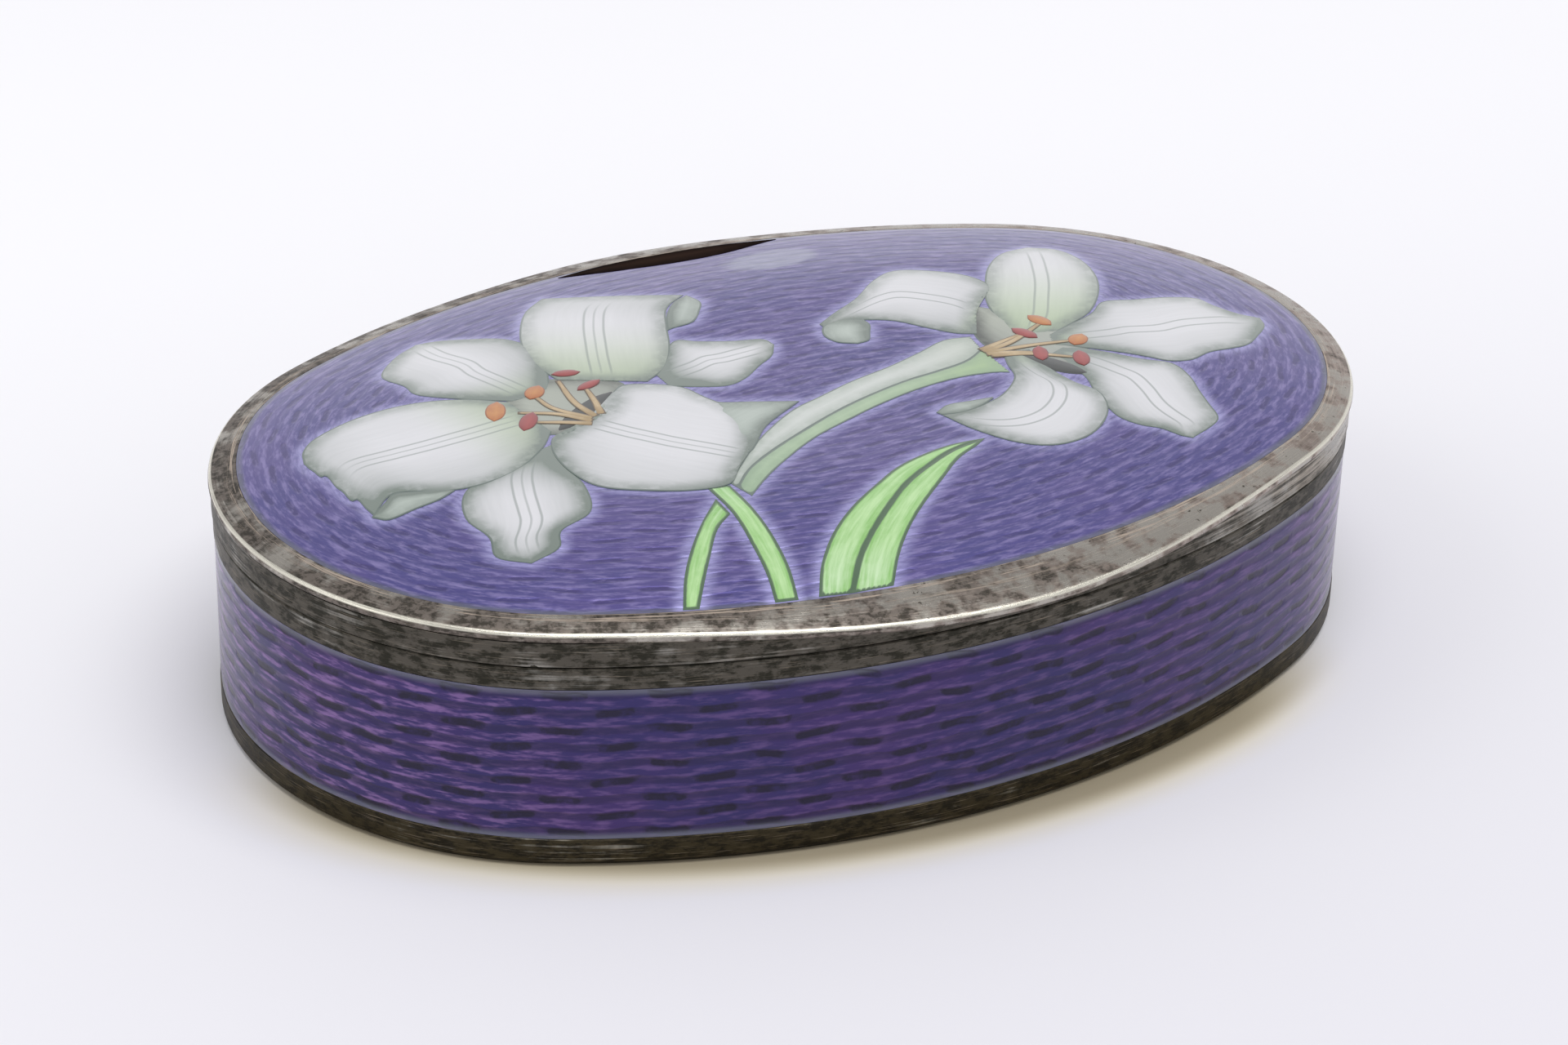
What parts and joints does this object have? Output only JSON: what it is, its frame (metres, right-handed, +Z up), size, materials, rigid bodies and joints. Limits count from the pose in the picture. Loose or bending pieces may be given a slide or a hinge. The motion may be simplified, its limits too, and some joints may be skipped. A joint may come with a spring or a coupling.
{
  "type": "oval pill box",
  "caption": "Oval silver pill box with a domed hinged lid, violet engine-turned enamel and painted lilies.",
  "frame": {"origin": "centre of the flat underside, on the surface the box stands on", "axes": "+X along the box's length, -Y towards the thumb lip, +Y towards the hinge, +Z up"},
  "size_m": [0.05, 0.0362, 0.0118],
  "materials": {
    "silver": "tarnished silver, satin with bright worn edges",
    "engine_turned_silver": "engine-turned silver",
    "pin_silver": "drawn silver wire",
    "gilt": "satin silver-gilt",
    "enamel": "glossy violet enamel, painted on the lid"
  },
  "bodies": {
    "box": {"base_plate": "gilt", "base_rim": "silver", "body_band": "engine_turned_silver", "body_enamel": "enamel", "upper_rim": "silver", "gilt_bezel": "gilt", "catch_ridge": "gilt", "hinge_box_knuckles": "silver", "hinge_pin": "pin_silver", "hinge_plugs": "pin_silver"},
    "lid": {"lid_wall": "silver", "lid_rim": "silver", "lid_plaque": "engine_turned_silver", "lid_enamel": "enamel", "lid_lining": "gilt", "hinge_lid_knuckles": "silver"}
  },
  "joints": [
    {"name": "lid_hinge", "type": "hinge", "parent": "box", "child": "lid", "pos_m": [0, 0.0173, 0.00892], "axis": [-1, 0, 0], "range_deg": [0, 100]}
  ]
}
